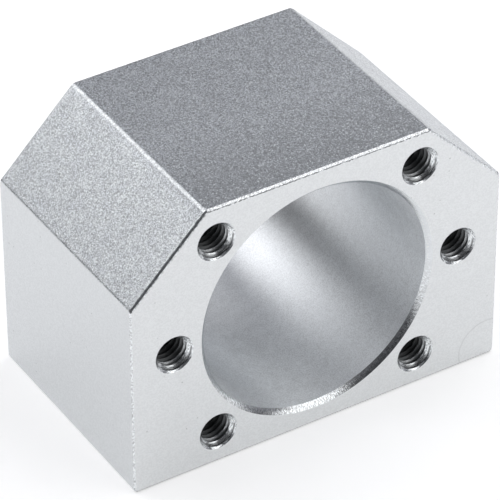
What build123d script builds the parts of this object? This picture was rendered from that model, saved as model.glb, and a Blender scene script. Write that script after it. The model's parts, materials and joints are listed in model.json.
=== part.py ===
from build123d import *
from math import cos, radians, sin, sqrt, tan
import os

os.makedirs("parts", exist_ok=True)

# Ball screw nut housing, in millimetres: one block of extruded bar, bored and tapped.
# The bore runs along Y, the nut's flange seats on the front face at -Y, and the base lies on z = 0.
# The origin is on the base, below the bore and halfway along it.

# Bore that takes the barrel of the ball nut
bore_diameter = 40.0
bore_bevel = 0.8

# Walls round the bore and the length of the block
wall_below = 3.75
wall_above = 4.25
length = 39.5

# Ring of tapped holes for the flange of the nut
bore_to_bolt = 5.5
bolt_step = 45.0
bolt_thread = 6.0
bolt_pitch = 1.0
bolt_depth = 18.0

# Metal outside the ring of holes: to the upright side and to the sloping shoulder
bolt_to_side = 7.5
bolt_to_shoulder = 5.6

# Tapped holes in the base, by which the housing is fixed to its carriage
base_thread = 6.0
base_pitch = 1.0
base_depth = 15.0
base_to_side = 7.0
base_to_end = 7.75

# Tapped holes: radial width of the countersink beyond the thread, and angle of the drill's point
mouth_relief = 0.3
drill_point = 118.0

# Edges: rounded along the bar, and broken round both end faces
corner_radius = 0.8
end_break = 0.3

# Sizes that follow from those above
bore_radius = bore_diameter / 2
ring_radius = bore_radius + bore_to_bolt
axis_height = wall_below + bore_radius
height = axis_height + bore_radius + wall_above
width = 2 * (ring_radius + bolt_to_side)
shoulder = width / 2 + height - axis_height - sqrt(2) * (ring_radius + bolt_to_shoulder)
front = -length / 2

# How far a cutter reaches past the face that it enters
overrun = 1.0


def bar():
    """Extruded bar: flat base, upright sides, two 45 degree shoulders and a flat top."""
    half = width / 2
    outline = Polygon(
        (-half, 0),
        (half, 0),
        (half, height - shoulder),
        (half - shoulder, height),
        (shoulder - half, height),
        (-half, height - shoulder),
        align=None,
    )
    outline = fillet(outline.vertices(), corner_radius)
    block = extrude(Plane.XZ * outline, length / 2, both=True)
    return chamfer(block.faces().filter_by(Axis.Y).edges(), end_break)


def bore_cutter():
    """Bore from end to end, with a 45 degree bevel at each mouth."""
    end = length / 2 + overrun
    flare = bore_radius + bore_bevel + overrun
    inner = length / 2 - bore_bevel
    outline = Polyline(
        (0, -end),
        (flare, -end),
        (bore_radius, -inner),
        (bore_radius, inner),
        (flare, end),
        (0, end),
        close=True,
    )
    return Pos(0, 0, axis_height) * revolve(make_face(outline), Axis.Y)


def tapped_hole_cutter(thread, pitch, depth):
    """Blind hole down from z = 0: countersunk mouth, tap drill and the drill's point."""
    drill = (thread - pitch) / 2
    mouth = thread / 2 + mouth_relief
    point = drill / tan(radians(drill_point / 2))
    outline = Polyline(
        (0, overrun),
        (mouth + overrun, overrun),
        (drill, drill - mouth),
        (drill, -depth),
        (0, -depth - point),
        close=True,
    )
    return revolve(Plane.XZ * make_face(outline), Axis.Z)


def flange_holes():
    """Six tapped holes in the front face, level and one step above and below level on each side."""
    cutter = tapped_hole_cutter(bolt_thread, bolt_pitch, bolt_depth)
    holes = []
    for side in (0, 180):
        for step in (-1, 0, 1):
            angle = radians(side + step * bolt_step)
            centre = (ring_radius * cos(angle), front, axis_height + ring_radius * sin(angle))
            holes.append(Plane(origin=centre, z_dir=(0, -1, 0)) * cutter)
    return holes


def base_holes():
    """Four tapped holes in the base, one near each corner and clear of the bore."""
    cutter = tapped_hole_cutter(base_thread, base_pitch, base_depth)
    across = width / 2 - base_to_side
    along = length / 2 - base_to_end
    centres = [(x, y, 0) for x in (-across, across) for y in (-along, along)]
    return [Plane(origin=centre, z_dir=(0, 0, -1)) * cutter for centre in centres]


housing = bar() - bore_cutter() - flange_holes() - base_holes()
export_step(housing, "parts/housing.step")
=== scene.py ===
import json
from math import atan2, ceil, cos, pi, radians, sin, tan, tau

import bmesh
import bpy
from mathutils import Matrix, Vector, noise
from mathutils.geometry import delaunay_2d_cdt


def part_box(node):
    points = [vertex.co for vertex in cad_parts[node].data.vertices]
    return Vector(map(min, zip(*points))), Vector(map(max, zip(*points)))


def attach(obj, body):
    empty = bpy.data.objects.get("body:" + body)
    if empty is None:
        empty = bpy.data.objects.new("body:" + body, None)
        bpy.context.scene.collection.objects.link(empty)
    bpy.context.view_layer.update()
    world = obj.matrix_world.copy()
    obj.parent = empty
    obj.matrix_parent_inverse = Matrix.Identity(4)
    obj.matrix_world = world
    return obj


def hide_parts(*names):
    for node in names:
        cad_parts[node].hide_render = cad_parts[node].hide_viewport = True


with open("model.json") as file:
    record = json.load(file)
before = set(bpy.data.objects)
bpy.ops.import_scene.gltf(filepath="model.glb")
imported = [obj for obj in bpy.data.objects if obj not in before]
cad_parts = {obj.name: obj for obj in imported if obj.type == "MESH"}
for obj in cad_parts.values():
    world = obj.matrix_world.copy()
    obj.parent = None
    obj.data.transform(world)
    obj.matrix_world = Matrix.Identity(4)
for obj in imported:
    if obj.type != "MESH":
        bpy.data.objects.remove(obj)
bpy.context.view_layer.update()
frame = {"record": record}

# Ball screw nut housing: one closed mesh in the frame of the CAD, with its materials, light and camera.
# The bore runs along Y, the face with the tapped holes is at -Y, and the base lies on z = 0.

MM = 0.001
X, Y, Z = Vector((1, 0, 0)), Vector((0, 1, 0)), Vector((0, 0, 1))

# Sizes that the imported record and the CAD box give
mounts = {mount["name"]: mount for mount in frame["record"]["mounts"]}
low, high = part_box("housing")
half_width = high.x
height = high.z
front, back = low.y, high.y
axis_height = mounts["nut_bore"]["pos_m"][2]
bore_radius = mounts["nut_bore"]["dims"]["r_mm"] * MM
ring_radius = mounts["flange_bolts_level"]["dims"]["spacing_x_mm"] * MM / 2
drill_radius = mounts["flange_bolts_level"]["dims"]["hole_r_mm"] * MM
base_spacing_x = mounts["base_bolts"]["dims"]["spacing_x_mm"] * MM
base_spacing_y = mounts["base_bolts"]["dims"]["spacing_y_mm"] * MM

# Sizes of the block that the record doesn't hold
SHOULDER = 13.27 * MM
CORNER_RADIUS = 0.8 * MM
TOP_CORNER_RADIUS = 1.1 * MM
BORE_BEVEL = 0.8 * MM
BOLT_STEP = radians(45)

# Bevel of the bore, slightly crowned: radial and axial distance from the bore's square corner, as shares
BEVEL_PROFILE = ((1.0, 0.0), (0.72, 0.23), (0.46, 0.46), (0.23, 0.72), (0.0, 1.0))

# Broken edge of an end face: its size on the top and shoulders, and the share of it on the sides and base
EDGE_BREAK = 0.4 * MM
SIDE_BREAK_SHARE = 0.55

# Rows of the broken edge: distance in from the bar's side and from the end face, as shares of its size,
# and how uneven the row is
BREAK_PROFILE = ((1.10, 0.0, 0.40), (0.70, 0.17, 0.22), (0.07, 0.85, 0.10), (0.0, 1.25, 0.25))

# Length along the edge over which it is uneven, the second wave of that next to the first, and how uneven
# the calmer parts are next to the rest
RAGGED_SCALE = 0.35 * MM
SECOND_WAVE_SHARE = 0.6
SECOND_WAVE_RATE = 2.7
CALM_SHARE = 0.35

# What part of the bar an outward normal belongs to, by how far it rises: 1 on the top, about 0.7 on a
# shoulder, 0 on an upright side and -1 on the base
SHOULDER_RISE = 0.7
UPRIGHT_RISE = 0.35
TOP_CORNER_RISES = (0.75, 0.98)
BASE_RISE = -0.9999

# M6 coarse thread, and the blind holes that hold it
PITCH = 1.0 * MM
ROOT_RADIUS = 3.04 * MM
THREAD_DEPTH = ROOT_RADIUS - drill_radius
MOUTH_RADIUS = 3.3 * MM
CREST_ROUND = 0.03 * MM
FLANK_MIDDLE = THREAD_DEPTH * 0.51
FLANGE_DRILL_DEPTH = 18.0 * MM
BASE_DRILL_DEPTH = 15.0 * MM
UNTHREADED_END = 2.5 * MM
THREAD_START = radians(150)
DRILL_POINT = radians(118)

# Share of the pitch and height above the crest, over one turn of the thread's section
THREAD_SECTION = (
    (0.00, CREST_ROUND),
    (0.03, 0.0),
    (0.22, 0.0),
    (0.25, CREST_ROUND),
    (0.41, FLANK_MIDDLE),
    (0.5625, THREAD_DEPTH),
    (0.6875, THREAD_DEPTH),
    (0.84, FLANK_MIDDLE),
)

# How finely the mesh follows each form
OUTLINE_STEP = 0.2 * MM
CORNER_STEPS = 6
BORE_SEGMENTS = 288
HOLE_SEGMENTS = 48
WELD = 0.0005 * MM
DELAUNAY_REACH = 1e-6

# Steepest turn between neighbouring faces that still shades as one surface
SMOOTH_TURN = radians(20)

# Zones of the surface, each with a material of its own
COARSE, FINE, BORE, BEVEL, EDGE, THREAD, CORNER, SIDE = range(8)

# Tints of the metal where it is blasted, in the bore, and where it is freshly cut
BLASTED_TINT = (0.973, 1.0, 1.02)
BORE_TINT = (0.975, 1.0, 1.02)
CUT_TINT = (0.97, 1.0, 1.02)

# Blasted zones: size and depth of the grain, darkest and lightest shade, roughness and tint
BLASTED = {
    "coarse_blast": (0.115 * MM, 0.02 * MM, (0.36, 1.0), 0.38, (0.965, 1.0, 1.04)),
    "fine_blast": (0.2 * MM, 0.004 * MM, (0.76, 0.82), 0.40, (0.98, 1.0, 1.008)),
    # Painted shade: the upright sides are the end faces' fine blast, painted a little darker and cooler
    "side_blast_painted_shade": (0.2 * MM, 0.004 * MM, (0.72, 0.78), 0.40, (0.975, 1.0, 1.015)),
    "corner": (0.15 * MM, 0.02 * MM, (0.6, 1.0), 0.48, BLASTED_TINT),
    "edge": (0.14 * MM, 0.012 * MM, (0.5, 0.94), 0.24, BLASTED_TINT),
}

# A second, finer grain in all of them: its size next to the first, and its share of the brightness
FINER_GRAIN = 0.6
FINER_SHARE = 0.3
ROUGHNESS_SPREAD = 0.03

# Range that holds most values of a noise
NOISE_SPAN = (0.3, 0.7)

# Coarsely blasted faces: faint clouds, and on the top face sparks, sized next to the grain, and painted
# shade that darkens the top face towards the front
CLOUD_SIZE = 2.5 * MM
CLOUD_CHANGE = (-0.06, 0.06)
SPARK_SIZE = 1.4
SPARK_SPAN = (0.86, 0.92)
SPARK_CHANGE = (-0.10, 0.9)
PAINTED_SHADE_LENGTH = 18 * MM
PAINTED_SHADE_AT_FRONT = 0.42
TOP_SPAN = (height - 1.2 * MM, height - 0.3 * MM)

# Specks on the finely blasted faces, and a faint ring mark low on the right of the front face
SPECK_SPACING = 2.2 * MM
SPECK_RADIUS = 0.16 * MM
SPECK_SHADE = 0.5
RING_MARK_CENTRE = (31.4 * MM, front, 1.8 * MM)
RING_MARK_RADIUS = 5 * MM
RING_MARK_LINE = (0.05 * MM, 0.2 * MM)
RING_MARK_STRENGTH = 0.5
RING_MARK_SHADE = 0.6
RING_MARK_REACH = 0.2 * MM

# Painted shadow along the foot of the broken edges, a dark line for the contact shadow: the heights between
# which it ends, and its shade
FOOT_SHADOW_SPAN = (0.25 * MM, 0.45 * MM)
FOOT_SHADOW_SHADE = 0.2

# Bore: clouds over a finer mottle, and a roughness that falls from front to back, level within a margin
# at each end
BORE_CLOUD_SIZE = 1.5 * MM
BORE_CLOUD_SHARE = 0.4
MOTTLE_SIZE = 0.2 * MM
MOTTLE_SPAN = (0.35, 0.65)
MOTTLE_CHANGE = (-0.2, 0.9)
BORE_SHADES = (0.71, 0.91)
BORE_MARGIN = 6 * MM
BORE_ROUGHNESS = (0.57, 0.37)
CLOUD_ROUGHNESS = 0.04
BORE_ANISOTROPY = 0.74
QUARTER_TURN = 0.25

# Bevel: fine marks across it, nicks, a speckle near its outer rim, and the height below the axis, as a
# share of the bore's radius, at which the marks start to fade
CHATTER_SIZE = 0.22 * MM
CHATTER_DEPTH = 0.022 * MM
CHATTER_STRETCH = 0.6
CHATTER_SPAN = (0.36, 0.58)
NICK_SPACING = 1.2 * MM
NICK_SPAN = (0.24, 0.28)
MARKED_BELOW = 0.6
ABOVE_AXIS_BRIGHTNESS = 0.8
SPECKLE_SIZE = 0.13 * MM
SPECKLE_CONTRAST = (0.42, 0.6)
SPECKLE_SPAN = (back - 0.45 * MM, back - 0.1 * MM)
SPECKLE_STRENGTH = 0.55
BEVEL_SHADES = (0.45, 0.88)
BEVEL_ROUGHNESS = 0.2

# Threads: streaks along the cut, and painted light and shade: how far the metal is painted lit by its depth
# in the hole in millimetres, by its depth in the groove as a share, and by the streaks
STREAK_SIZE = 0.14 * MM
STREAK_DEPTH = 0.035 * MM
STREAK_SCALE = (0.3, 1.0, 0.3)
STREAK_SPAN = (0.38, 0.58)
LIT_BY_STREAK = (0.3, 1.0)
LIT_DEPTHS = (0.7, 2.9)
DULL_DEPTHS = (0.8, 2.8)
MOUTH_DEPTHS = (0.1, 0.4)
LIT_IN_MOUTH = (0.88, 1.0)
GROOVE_SPAN = (0.05, 0.7)
LIT_IN_GROOVE = (1.0, 0.04)
THREAD_SHADES = (0.24, 1.0)
THREAD_ROUGHNESS = (0.26, 0.65)

# Plain floor: how far it reaches, its colour, and what is added to it where it is seen straight or in
# a reflection, and by the camera alone
FLOOR_REACH = 4.0
FLOOR_COLOUR = (0.88, 0.88, 0.88, 1)
FLOOR_LIFT = 0.38
CAMERA_FLOOR_LIFT = 0.07

# Dim room: its colour, its plain level, and soft patches that are lighter or darker, each given by
# azimuth and elevation in degrees, the change of level, and the patch's inner and outer radius in degrees
ROOM_COLOUR = (0.983, 0.99, 1.07, 1)
ROOM_LEVEL = 0.40
ROOM_PATCHES = (
    (5, 20, -0.33, 40, 95),
    (148, 36, -0.13, 10, 45),
    (-135, 3, -0.25, 12, 40),
    (0, 90, 0.10, 15, 55),
    (100, 5, 0.05, 10, 45),
    (-100, 0, -0.2, 15, 50),
)

# Softboxes: azimuth and elevation in degrees, distance and size in metres, and radiance
SOFTBOXES = {
    "key": (36, 35, 0.7, 0.5, 1.4),
    "back_light": (-150, 40, 0.7, 0.45, 1.43),
    "left_fill": (-92, 48, 0.9, 0.9, 0.53),
    "right_fill": (100, 54, 0.9, 0.85, 1.05),
}

# Camera of the photograph: direction and roll in degrees, distance, and focal length in pixels of its frame
CAMERA_AZIMUTH = -31.73
CAMERA_ELEVATION = 36.80
CAMERA_ROLL = -0.21
CAMERA_DISTANCE = 622.94 * MM
CAMERA_TARGET = Vector((-0.03, 0.0, 20.62)) * MM
FOCAL_PIXELS = 4003.7
FRAME_PIXELS = 500
SENSOR_WIDTH = 36.0
CLIP_START = 0.01


def clamp(value):
    """The value held between 0 and 1."""
    return min(1.0, max(0.0, value))


# Outline of the bar

def outline():
    """Points of the bar's cross-section, anticlockwise seen from the front, each with its outward normal."""
    corners = [
        Vector((-half_width, 0)),
        Vector((half_width, 0)),
        Vector((half_width, height - SHOULDER)),
        Vector((half_width - SHOULDER, height)),
        Vector((SHOULDER - half_width, height)),
        Vector((-half_width, height - SHOULDER)),
    ]
    radii = [TOP_CORNER_RADIUS if corner.y == height else CORNER_RADIUS for corner in corners]
    runs = [(corners[(i + 1) % len(corners)] - corner).normalized() for i, corner in enumerate(corners)]
    turns = [runs[i - 1].angle(run) for i, run in enumerate(runs)]
    points = []
    for i, corner in enumerate(corners):
        before, after = runs[i - 1], runs[i]
        reach = radii[i] * tan(turns[i] / 2)
        first_normal = Vector((before.y, -before.x))
        centre = corner - before * reach - first_normal * radii[i]
        start = atan2(first_normal.y, first_normal.x)
        for k in range(CORNER_STEPS + 1):
            angle = start + turns[i] * k / CORNER_STEPS
            normal = Vector((cos(angle), sin(angle)))
            points.append((centre + normal * radii[i], normal))
        j = (i + 1) % len(corners)
        run_start = corner + after * reach
        run_end = corners[j] - after * radii[j] * tan(turns[j] / 2)
        run_normal = Vector((after.y, -after.x))
        steps = ceil((run_end - run_start).length / OUTLINE_STEP)
        for k in range(1, steps):
            points.append((run_start.lerp(run_end, k / steps), run_normal))
    return points


def ragged(point, end):
    """How uneven the broken edge at this end is at a point of the outline, from two waves: about -1 to 1."""
    place = Vector((point.x / RAGGED_SCALE, point.y / RAGGED_SCALE, end / MM))
    return noise.noise(place) + SECOND_WAVE_SHARE * noise.noise(place * SECOND_WAVE_RATE)


def break_size(point, normal, unevenness, end):
    """Size of the broken edge at this point of the outline, calmer on the upright sides and on the right."""
    share = SIDE_BREAK_SHARE + (1 - SIDE_BREAK_SHARE) * clamp(normal.y / SHOULDER_RISE)
    is_calm = point.x > half_width - SHOULDER or abs(normal.y) < UPRIGHT_RISE
    calm = CALM_SHARE if is_calm else 1.0
    return EDGE_BREAK * share * (1 + calm * unevenness * share * ragged(point, end))


def skin_zone(rise):
    """Zone of a strip of the bar's skin whose normal rises this far."""
    if TOP_CORNER_RISES[0] < rise < TOP_CORNER_RISES[1]:
        return CORNER
    return COARSE if rise > UPRIGHT_RISE else SIDE


def circle(centre, across, up, radius, segments, turn=0.0):
    """Points of a circle about centre in the plane of across and up, turned by this angle from across."""
    angles = [tau * i / segments + turn for i in range(segments)]
    return [centre + (across * cos(angle) + up * sin(angle)) * radius for angle in angles]


# Mesh

class Block:
    """The housing's mesh while it is built, with a zone for each face and two numbers for each vertex."""

    def __init__(self):
        self.bm = bmesh.new()
        self.sunk = self.bm.verts.layers.float.new("sunk")
        self.groove = self.bm.verts.layers.float.new("groove")

    def ring(self, points):
        """A closed ring of new vertices."""
        return [self.bm.verts.new(point) for point in points]

    def face(self, corners, zone):
        """A face of one zone, left out where its corners have run together."""
        distinct = []
        for vert in corners:
            if all((vert.co - other.co).length > WELD for other in distinct):
                distinct.append(vert)
        if len(distinct) < 3:
            return
        made = self.bm.faces.new(distinct)
        made.material_index = zone
        made.smooth = True

    def bands(self, rows, zone, flipped=False):
        """Quads between each ring of the rows and the next, flipped where they would face into the metal."""
        for first, second in zip(rows, rows[1:]):
            if flipped:
                first, second = second, first
            for i in range(len(first)):
                j = (i + 1) % len(first)
                self.face((first[i], second[i], second[j], first[j]), zone)

    def plane_with_holes(self, rim, holes, flatten, normal, zone):
        """Triangles over the plane inside the rim and outside the holes, which are rings of vertices."""
        rings = [rim, *holes]
        verts = [vert for ring in rings for vert in ring]
        owners = [number for number, ring in enumerate(rings) for vert in ring]
        edges = []
        for ring in rings:
            start = len(edges)
            edges += [(start + i, start + (i + 1) % len(ring)) for i in range(len(ring))]
        flat = [flatten(vert.co) / MM for vert in verts]
        triangles, origins = delaunay_2d_cdt(flat, edges, [], 1, DELAUNAY_REACH)[2:4]
        for triangle in triangles:
            sources = [origins[i][0] for i in triangle]
            touched = {owners[source] for source in sources}
            fills_a_hole = len(touched) == 1 and touched != {0}
            if fills_a_hole:
                continue
            corners = [verts[source] for source in sources]
            side = (corners[1].co - corners[0].co).cross(corners[2].co - corners[0].co)
            if side.dot(normal) < 0:
                corners.reverse()
            self.face(corners, zone)


def build_skin(block):
    """The outside of the bar with its broken edges. Returns the rims of the front, the back and the base."""
    points = outline()
    ends = []
    for end, inward in ((front, 1), (back, -1)):
        rows = []
        for inset, depth, unevenness in BREAK_PROFILE:
            row = []
            for point, normal in points:
                size = break_size(point, normal, unevenness, end)
                place = point - normal * size * inset
                row.append((place.x, end + inward * size * depth, place.y))
            rows.append(block.ring(row))
        ends.append(rows)
    front_rows, back_rows = ends
    block.bands(front_rows, EDGE)
    block.bands(back_rows, EDGE, flipped=True)
    near, far = front_rows[-1], back_rows[-1]
    base = []
    for i in range(len(points)):
        j = (i + 1) % len(points)
        rise = (points[i][1] + points[j][1]).normalized().y
        if rise < BASE_RISE:
            base.append(i)
        else:
            block.face((near[i], far[i], far[j], near[j]), skin_zone(rise))
    base.append(base[-1] + 1)
    base_rim = [near[i] for i in base] + [far[i] for i in reversed(base)]
    return front_rows[0], back_rows[0], base_rim


def build_bore(block):
    """The bore's wall and the bevel at each mouth. Returns the rings at the two end faces."""
    mouths = []
    inner = []
    for end, inward in ((front, 1), (back, -1)):
        rows = []
        for outward, depth in BEVEL_PROFILE:
            centre = Vector((0, end + inward * BORE_BEVEL * depth, axis_height))
            radius = bore_radius + BORE_BEVEL * outward
            rows.append(block.ring(circle(centre, X, Z, radius, BORE_SEGMENTS)))
        block.bands(rows, BEVEL, flipped=inward > 0)
        mouths.append(rows[0])
        inner.append(rows[-1])
    block.bands(inner, BORE, flipped=True)
    return mouths


def build_tapped_hole(block, centre, inward, depth, turn):
    """A blind hole with a right-hand thread that starts at this turn. Returns the ring at its mouth."""
    up = inward.cross(X)
    thread_end = depth - UNTHREADED_END
    turns = ceil(thread_end / PITCH) + 2
    rows = [(k + share, rise) for k in range(-1, turns - 1) for share, rise in THREAD_SECTION]

    def thread_vert(share, rise, column):
        """Vertex of the helix, held between the countersunk mouth and the thread's end."""
        angle = tau * column / HOLE_SEGMENTS
        z = PITCH * (share + angle / tau)
        fade = clamp((thread_end - z) / PITCH)
        radius = max(drill_radius + rise * fade, MOUTH_RADIUS - z)
        if z <= 0:
            z, radius = 0.0, MOUTH_RADIUS
        if z >= thread_end:
            z, radius = thread_end, drill_radius
        direction = X * cos(angle + turn) + up * sin(angle + turn)
        vert = block.bm.verts.new(centre + inward * z + direction * radius)
        vert[block.sunk] = z / MM
        on_countersink = abs(radius - (MOUTH_RADIUS - z)) < WELD
        vert[block.groove] = 0.0 if on_countersink else clamp((radius - drill_radius) / THREAD_DEPTH)
        return vert

    grid = [[thread_vert(*row, column) for column in range(HOLE_SEGMENTS)] for row in rows]
    for row in range(len(rows) - 1):
        for column in range(HOLE_SEGMENTS):
            if column + 1 < HOLE_SEGMENTS:
                first, second = grid[row][column + 1], grid[row + 1][column + 1]
            elif row + 1 + len(THREAD_SECTION) < len(rows):
                first = grid[row + len(THREAD_SECTION)][0]
                second = grid[row + 1 + len(THREAD_SECTION)][0]
            else:
                continue
            block.face((grid[row][column], first, second, grid[row + 1][column]), THREAD)

    def plain_ring(z, radius):
        """A ring of the hole's plain parts at this depth."""
        return block.ring(circle(centre + inward * z, X, up, radius, HOLE_SEGMENTS, turn))

    mouth = plain_ring(0.0, MOUTH_RADIUS)
    wall_top = plain_ring(thread_end, drill_radius)
    wall_end = plain_ring(depth, drill_radius)
    block.bands([wall_end, wall_top], THREAD)
    tip = block.bm.verts.new(centre + inward * (depth + drill_radius / tan(DRILL_POINT / 2)))
    for vert in (*wall_top, *wall_end, tip):
        vert[block.sunk] = depth / MM
    for i in range(HOLE_SEGMENTS):
        block.face((wall_end[i], tip, wall_end[(i + 1) % HOLE_SEGMENTS]), THREAD)
    return mouth


def build_housing():
    """The whole block as one closed mesh: bar, bore, six flange holes and four base holes."""
    block = Block()
    front_rim, back_rim, base_rim = build_skin(block)
    front_mouth, back_mouth = build_bore(block)
    front_holes = [front_mouth]
    for side in (0, pi):
        for step in (-1, 0, 1):
            angle = side + step * BOLT_STEP
            centre = Vector((ring_radius * cos(angle), front, axis_height + ring_radius * sin(angle)))
            front_holes.append(build_tapped_hole(block, centre, Y, FLANGE_DRILL_DEPTH, THREAD_START))
    base_holes = []
    for x in (-base_spacing_x / 2, base_spacing_x / 2):
        for y in (-base_spacing_y / 2, base_spacing_y / 2):
            base_holes.append(build_tapped_hole(block, Vector((x, y, 0)), Z, BASE_DRILL_DEPTH, 0.0))
    block.plane_with_holes(front_rim, front_holes, lambda place: place.xz, -Y, FINE)
    block.plane_with_holes(back_rim, [back_mouth], lambda place: place.xz, Y, FINE)
    block.plane_with_holes(base_rim, base_holes, lambda place: place.xy, -Z, FINE)
    bmesh.ops.remove_doubles(block.bm, verts=block.bm.verts, dist=WELD)
    bmesh.ops.dissolve_degenerate(block.bm, dist=WELD, edges=block.bm.edges)
    loose = [vert for vert in block.bm.verts if not vert.link_faces]
    bmesh.ops.delete(block.bm, geom=loose, context="VERTS")
    open_edges = [edge for edge in block.bm.edges if len(edge.link_faces) != 2]
    for edge in block.bm.edges:
        if len(edge.link_faces) == 2:
            edge.smooth = edge.calc_face_angle(0) < SMOOTH_TURN
    print("housing:", len(block.bm.faces), "faces,", len(open_edges), "edges that don't have two faces")
    mesh = bpy.data.meshes.new("housing_body")
    block.bm.to_mesh(mesh)
    block.bm.free()
    housing = bpy.data.objects.new("housing_body", mesh)
    bpy.context.collection.objects.link(housing)
    weighted = housing.modifiers.new("even_shading", "WEIGHTED_NORMAL")
    weighted.keep_sharp = True
    weighted.weight = 100
    return housing


# Materials

def grey(value, tint):
    """A near-neutral metal colour of this brightness."""
    return (*(value * part for part in tint), 1)


class Nodes:
    """A node tree, with short calls that add a node and join it to the ones before."""

    def __init__(self, tree):
        self.tree = tree

    def add(self, kind, **settings):
        """A new node with these settings."""
        node = self.tree.nodes.new(kind)
        for name, value in settings.items():
            setattr(node, name, value)
        return node

    def feed(self, socket, value):
        """Gives a node's input the output of another node, or else a plain value."""
        if isinstance(value, bpy.types.NodeSocket):
            self.tree.links.new(value, socket)
        else:
            socket.default_value = value

    def math(self, operation, *values):
        """The result of this operation on one, two or three numbers."""
        node = self.add("ShaderNodeMath", operation=operation)
        for socket, value in zip(node.inputs, values):
            self.feed(socket, value)
        return node.outputs["Value"]

    def ramp(self, value, span, result=(0.0, 1.0), interpolation="LINEAR"):
        """The value carried from this span to the span of the result, and held at its ends."""
        node = self.add("ShaderNodeMapRange", interpolation_type=interpolation)
        for socket, number in zip(node.inputs, (value, *span, *result)):
            self.feed(socket, number)
        return node.outputs["Result"]


class Shader(Nodes):
    """A material's node tree, with the patterns that the metal is made of. Sizes are in metres."""

    def __init__(self, name):
        self.material = bpy.data.materials.new(name)
        self.material.use_nodes = True
        super().__init__(self.material.node_tree)
        self.tree.nodes.clear()
        self.surface = self.add("ShaderNodeBsdfPrincipled")
        self.output = self.add("ShaderNodeOutputMaterial")
        self.feed(self.output.inputs["Surface"], self.surface.outputs["BSDF"])
        self.place = self.add("ShaderNodeTexCoord").outputs["Object"]

    def axes(self):
        """X, Y and Z of the place, each as a number."""
        node = self.add("ShaderNodeSeparateXYZ")
        self.feed(node.inputs["Vector"], self.place)
        return node.outputs[:]

    def vector(self, x, y=0.0):
        """A place at these two numbers, and at 0 in Z."""
        node = self.add("ShaderNodeCombineXYZ")
        self.feed(node.inputs["X"], x)
        self.feed(node.inputs["Y"], y)
        return node.outputs["Vector"]

    def noise(self, size, detail=2.0, place=None):
        """Noise of about this feature size, from 0 to 1."""
        node = self.add("ShaderNodeTexNoise")
        self.feed(node.inputs["Scale"], 1 / size)
        self.feed(node.inputs["Detail"], detail)
        self.feed(node.inputs["Vector"], place or self.place)
        return node.outputs["Fac"]

    def voronoi(self, size):
        """Outputs of a pattern of cells of about this size."""
        node = self.add("ShaderNodeTexVoronoi")
        self.feed(node.inputs["Scale"], 1 / size)
        self.feed(node.inputs["Vector"], self.place)
        return node.outputs

    def cells(self, size):
        """A random value from 0 to 1 in each cell of this size."""
        node = self.add("ShaderNodeSeparateColor")
        self.feed(node.inputs["Color"], self.voronoi(size)["Color"])
        return node.outputs["Red"]

    def specks(self, spacing, radius):
        """1 on the metal and 0 on rare small specks, about this far apart."""
        reach = radius / spacing
        return self.ramp(self.voronoi(spacing)["Distance"], (reach * 0.5, reach))

    def attribute(self, name):
        """A number that the mesh holds at each vertex."""
        return self.add("ShaderNodeAttribute", attribute_name=name).outputs["Fac"]

    def colour(self, value, first, second):
        """Colour between the first and the second as value goes from 0 to 1."""
        node = self.add("ShaderNodeMix", data_type="RGBA")
        self.feed(node.inputs["Factor"], value)
        self.feed(node.inputs["A"], first)
        self.feed(node.inputs["B"], second)
        return node.outputs["Result"]

    def shade(self, value, shades, tint=CUT_TINT):
        """Metal colour between two shades of grey as value goes from 0 to 1."""
        dark, light = shades
        return self.colour(value, grey(dark, tint), grey(light, tint))

    def bump(self, relief, depth):
        """A normal tilted by this relief, where 1 stands for depth."""
        node = self.add("ShaderNodeBump")
        self.feed(node.inputs["Distance"], depth)
        self.feed(node.inputs["Height"], relief)
        return node.outputs["Normal"]

    def metal(self, colour, roughness):
        """The finished material: bare metal of this colour and roughness."""
        self.feed(self.surface.inputs["Base Color"], colour)
        self.feed(self.surface.inputs["Roughness"], roughness)
        self.feed(self.surface.inputs["Metallic"], 1.0)
        return self.material


def tone_and_painted_front_shade(shader, brightness, grain):
    """Clouds over coarse grains and, on the top face, bright sparks and painted shade that darkens it
    towards the front.
    """
    _, y, z = shader.axes()
    cloud = shader.ramp(shader.noise(CLOUD_SIZE, detail=3.0), NOISE_SPAN, CLOUD_CHANGE)
    # Painted shade: the top face is darkened towards its front edge, in place of a darker reflection there
    painted_front_shade = shader.ramp(y, (front, front + PAINTED_SHADE_LENGTH), (PAINTED_SHADE_AT_FRONT, 0.0))
    sparks = shader.ramp(shader.cells(grain * SPARK_SIZE), SPARK_SPAN, SPARK_CHANGE)
    on_top = shader.ramp(z, TOP_SPAN)
    change = shader.math("MULTIPLY", shader.math("SUBTRACT", sparks, painted_front_shade), on_top)
    return shader.math("ADD", shader.math("ADD", brightness, cloud), change)


def specks_and_ring_mark(shader, colour, tint):
    """Rare dark specks, and on the front face a faint ring mark."""
    _, y, _ = shader.axes()
    colour = shader.colour(shader.specks(SPECK_SPACING, SPECK_RADIUS), grey(SPECK_SHADE, tint), colour)
    away = shader.add("ShaderNodeVectorMath", operation="DISTANCE")
    shader.feed(away.inputs[0], shader.place)
    shader.feed(away.inputs[1], RING_MARK_CENTRE)
    off_ring = shader.math("ABSOLUTE", shader.math("SUBTRACT", away.outputs["Value"], RING_MARK_RADIUS))
    line = shader.ramp(off_ring, RING_MARK_LINE, (RING_MARK_STRENGTH, 0.0))
    on_front = shader.ramp(y, (front, front + RING_MARK_REACH), (1.0, 0.0))
    return shader.colour(shader.math("MULTIPLY", line, on_front), colour, grey(RING_MARK_SHADE, tint))


def painted_foot_shadow(shader, colour, tint):
    """Painted contact shadow: a dark line along the foot of the block."""
    z = shader.axes()[2]
    return shader.colour(shader.ramp(z, FOOT_SHADOW_SPAN, (1.0, 0.0)), colour, grey(FOOT_SHADOW_SHADE, tint))


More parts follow.
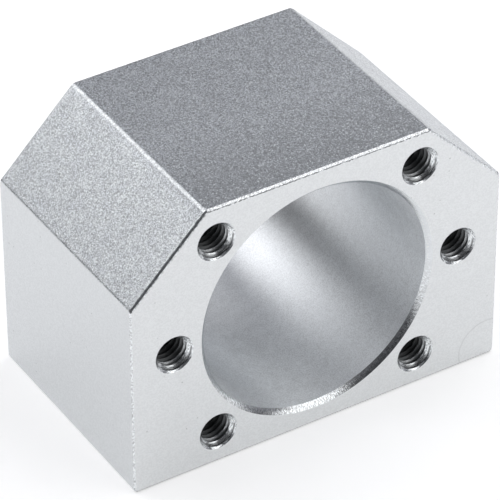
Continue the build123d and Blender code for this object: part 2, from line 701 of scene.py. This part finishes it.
def blasted(name, vary=None, mark=None):
    """Bead-blasted and anodised aluminium: grains of one size, each of its own shade and tilt."""
    grain, depth, shades, roughness, tint = BLASTED[name]
    shader = Shader(name)
    large = shader.math("MULTIPLY", shader.cells(grain), 1 - FINER_SHARE)
    small = shader.math("MULTIPLY", shader.cells(grain * FINER_GRAIN), FINER_SHARE)
    brightness = shader.ramp(shader.math("ADD", large, small), NOISE_SPAN)
    if vary:
        brightness = vary(shader, brightness, grain)
    colour = shader.shade(brightness, shades, tint)
    if mark:
        colour = mark(shader, colour, tint)
    spread = (roughness - ROUGHNESS_SPREAD, roughness + ROUGHNESS_SPREAD)
    rough = shader.ramp(shader.noise(grain * 4), NOISE_SPAN, spread)
    shader.feed(shader.surface.inputs["Normal"], shader.bump(shader.noise(grain), depth))
    return shader.metal(colour, rough)


def bore_satin():
    """Turned bore: satin, with its marks round the bore, and duller towards the blasted front mouth."""
    shader = Shader("bore_satin")
    _, y, _ = shader.axes()
    cloud = shader.ramp(shader.noise(BORE_CLOUD_SIZE, detail=5.0), NOISE_SPAN)
    mottle = shader.ramp(shader.noise(MOTTLE_SIZE, detail=3.0), MOTTLE_SPAN, MOTTLE_CHANGE)
    brightness = shader.math("ADD", shader.math("MULTIPLY", cloud, BORE_CLOUD_SHARE), mottle)
    dull = shader.ramp(y, (front + BORE_MARGIN, back - BORE_MARGIN), BORE_ROUGHNESS)
    rough = shader.math("ADD", dull, shader.math("MULTIPLY", cloud, CLOUD_ROUGHNESS))
    around = shader.add("ShaderNodeTangent", direction_type="RADIAL", axis="Y")
    shader.feed(shader.surface.inputs["Tangent"], around.outputs["Tangent"])
    shader.feed(shader.surface.inputs["Anisotropic"], BORE_ANISOTROPY)
    shader.feed(shader.surface.inputs["Anisotropic Rotation"], QUARTER_TURN)
    return shader.metal(shader.shade(brightness, BORE_SHADES, BORE_TINT), rough)


def bevel_metal():
    """Turned bevel of the bore: brighter above the axis, and below it marked across and nicked."""
    shader = Shader("bevel")
    x, y, z = shader.axes()
    rise = shader.math("SUBTRACT", z, axis_height)
    along = shader.math("MULTIPLY", shader.math("ARCTAN2", rise, x), bore_radius)
    place = shader.vector(along, shader.math("MULTIPLY", y, CHATTER_STRETCH))
    chatter = shader.noise(CHATTER_SIZE, detail=4.0, place=place)
    nicks = shader.noise(NICK_SPACING, detail=0.0, place=shader.vector(along))
    speckle = shader.ramp(shader.noise(SPECKLE_SIZE), SPECKLE_CONTRAST)
    outer = shader.ramp(shader.math("ABSOLUTE", y), SPECKLE_SPAN, (0.0, SPECKLE_STRENGTH))
    # Brighter above the axis: a lighter colour covers the marks there, while the bump stays
    smooth = shader.ramp(rise, (-MARKED_BELOW * bore_radius, 0.0), (0.0, ABOVE_AXIS_BRIGHTNESS))
    bright = shader.math("MULTIPLY", shader.ramp(chatter, CHATTER_SPAN), shader.ramp(nicks, NICK_SPAN))
    bright = shader.math("SUBTRACT", bright, shader.math("MULTIPLY", outer, speckle))
    bright = shader.math("MAXIMUM", bright, smooth)
    shader.feed(shader.surface.inputs["Normal"], shader.bump(chatter, CHATTER_DEPTH))
    return shader.metal(shader.shade(bright, BEVEL_SHADES), BEVEL_ROUGHNESS)


def thread_metal():
    """Cut thread: bright and streaky near the mouth, with painted shade in its groove and further down the
    hole.
    """
    shader = Shader("thread")
    sunk, groove = shader.attribute("sunk"), shader.attribute("groove")
    stretched = shader.add("ShaderNodeMapping", vector_type="POINT")
    shader.feed(stretched.inputs["Vector"], shader.place)
    shader.feed(stretched.inputs["Scale"], STREAK_SCALE)
    streaks = shader.noise(STREAK_SIZE, place=stretched.outputs["Vector"])
    # Painted light and shade: the thread's colour is full near the mouth and darkens with its depth in the
    # hole and in the groove
    lit = shader.ramp(sunk, LIT_DEPTHS, (1.0, 0.0))
    for dimmer in (
        shader.ramp(groove, GROOVE_SPAN, LIT_IN_GROOVE),
        shader.ramp(streaks, STREAK_SPAN, LIT_BY_STREAK),
        shader.ramp(sunk, MOUTH_DEPTHS, LIT_IN_MOUTH),
    ):
        lit = shader.math("MULTIPLY", lit, dimmer)
    shader.feed(shader.surface.inputs["Normal"], shader.bump(streaks, STREAK_DEPTH))
    rough = shader.ramp(sunk, DULL_DEPTHS, THREAD_ROUGHNESS)
    return shader.metal(shader.shade(lit, THREAD_SHADES), rough)


def dress(housing):
    """Gives the housing the material of each zone, in the order of the zones' numbers."""
    materials = {
        COARSE: blasted("coarse_blast", vary=tone_and_painted_front_shade),
        FINE: blasted("fine_blast", mark=specks_and_ring_mark),
        BORE: bore_satin(),
        BEVEL: bevel_metal(),
        EDGE: blasted("edge", mark=painted_foot_shadow),
        THREAD: thread_metal(),
        CORNER: blasted("corner"),
        # Painted shade on the upright sides
        SIDE: blasted("side_blast_painted_shade", mark=specks_and_ring_mark),
    }
    for zone in sorted(materials):
        housing.data.materials.append(materials[zone])


# Stage, light and camera

def make_floor():
    """Plain pale floor: it shows white to the camera and in reflections, and keeps the object's shadow."""
    paint = Shader("floor_paint")
    paint.feed(paint.surface.inputs["Base Color"], FLOOR_COLOUR)
    paint.feed(paint.surface.inputs["Roughness"], 1.0)
    paint.feed(paint.surface.inputs["Specular IOR Level"], 0.0)
    rays = paint.add("ShaderNodeLightPath").outputs
    seen = paint.math("MAXIMUM", rays["Is Camera Ray"], rays["Is Glossy Ray"])
    seen = paint.math("MAXIMUM", seen, rays["Is Transmission Ray"])
    lift = paint.math("MULTIPLY", seen, FLOOR_LIFT)
    lift = paint.math("MULTIPLY_ADD", rays["Is Camera Ray"], CAMERA_FLOOR_LIFT, lift)
    glow = paint.add("ShaderNodeEmission")
    paint.feed(glow.inputs["Strength"], lift)
    both = paint.add("ShaderNodeAddShader")
    paint.feed(both.inputs[0], paint.surface.outputs["BSDF"])
    paint.feed(both.inputs[1], glow.outputs["Emission"])
    paint.feed(paint.output.inputs["Surface"], both.outputs["Shader"])
    mesh = bpy.data.meshes.new("floor")
    corners = [(x * FLOOR_REACH, y * FLOOR_REACH, 0) for x, y in ((-1, -1), (1, -1), (1, 1), (-1, 1))]
    mesh.from_pydata(corners, [], [(0, 1, 2, 3)])
    mesh.materials.append(paint.material)
    floor = bpy.data.objects.new("floor", mesh)
    bpy.context.collection.objects.link(floor)


def heading(azimuth, elevation):
    """Unit vector from the object towards this azimuth and elevation, both in degrees."""
    a, e = radians(azimuth), radians(elevation)
    return Vector((sin(a) * cos(e), -cos(a) * cos(e), sin(e)))


def make_world():
    """Dim plain studio overhead, with soft lighter and darker parts."""
    world = bpy.data.worlds.new("studio")
    bpy.context.scene.world = world
    world.use_nodes = True
    nodes = Nodes(world.node_tree)
    direction = nodes.add("ShaderNodeTexCoord").outputs["Generated"]
    level = ROOM_LEVEL
    for azimuth, elevation, change, inner, outer in ROOM_PATCHES:
        facing = nodes.add("ShaderNodeVectorMath", operation="DOT_PRODUCT")
        nodes.feed(facing.inputs[0], direction)
        nodes.feed(facing.inputs[1], heading(azimuth, elevation))
        span = (cos(radians(outer)), cos(radians(inner)))
        patch = nodes.ramp(facing.outputs["Value"], span, (0.0, change), "SMOOTHSTEP")
        level = nodes.math("ADD", level, patch)
    sky = world.node_tree.nodes["Background"]
    nodes.feed(sky.inputs["Color"], ROOM_COLOUR)
    nodes.feed(sky.inputs["Strength"], level)


def make_softbox(name, azimuth, elevation, distance, size, radiance):
    """A square area lamp of this radiance that looks at the object from this direction, in degrees."""
    lamp = bpy.data.lights.new(name, "AREA")
    lamp.shape = "SQUARE"
    lamp.size = size
    lamp.energy = radiance * pi * size * size
    holder = bpy.data.objects.new(name, lamp)
    direction = heading(azimuth, elevation)
    holder.location = CAMERA_TARGET + direction * distance
    holder.rotation_euler = direction.to_track_quat("Z", "Y").to_euler()
    bpy.context.collection.objects.link(holder)


def make_camera():
    """The photograph's camera."""
    azimuth, roll = radians(CAMERA_AZIMUTH), radians(CAMERA_ROLL)
    backward = heading(CAMERA_AZIMUTH, CAMERA_ELEVATION)
    level = Vector((cos(azimuth), sin(azimuth), 0))
    upright = backward.cross(level)
    right = level * cos(roll) + upright * sin(roll)
    up = upright * cos(roll) - level * sin(roll)
    turned = Matrix((right, up, backward)).transposed().to_4x4()
    data = bpy.data.cameras.new("camera")
    data.sensor_fit = "HORIZONTAL"
    data.sensor_width = SENSOR_WIDTH
    data.lens = FOCAL_PIXELS / FRAME_PIXELS * SENSOR_WIDTH
    data.clip_start = CLIP_START
    camera = bpy.data.objects.new("camera", data)
    camera.matrix_world = Matrix.Translation(CAMERA_TARGET + backward * CAMERA_DISTANCE) @ turned
    bpy.context.collection.objects.link(camera)
    bpy.context.scene.camera = camera


housing = build_housing()
dress(housing)
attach(housing, "root")
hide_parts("housing")
make_floor()
make_world()
for name, settings in SOFTBOXES.items():
    make_softbox(name, *settings)
make_camera()
bpy.context.scene.view_settings.view_transform = "Standard"
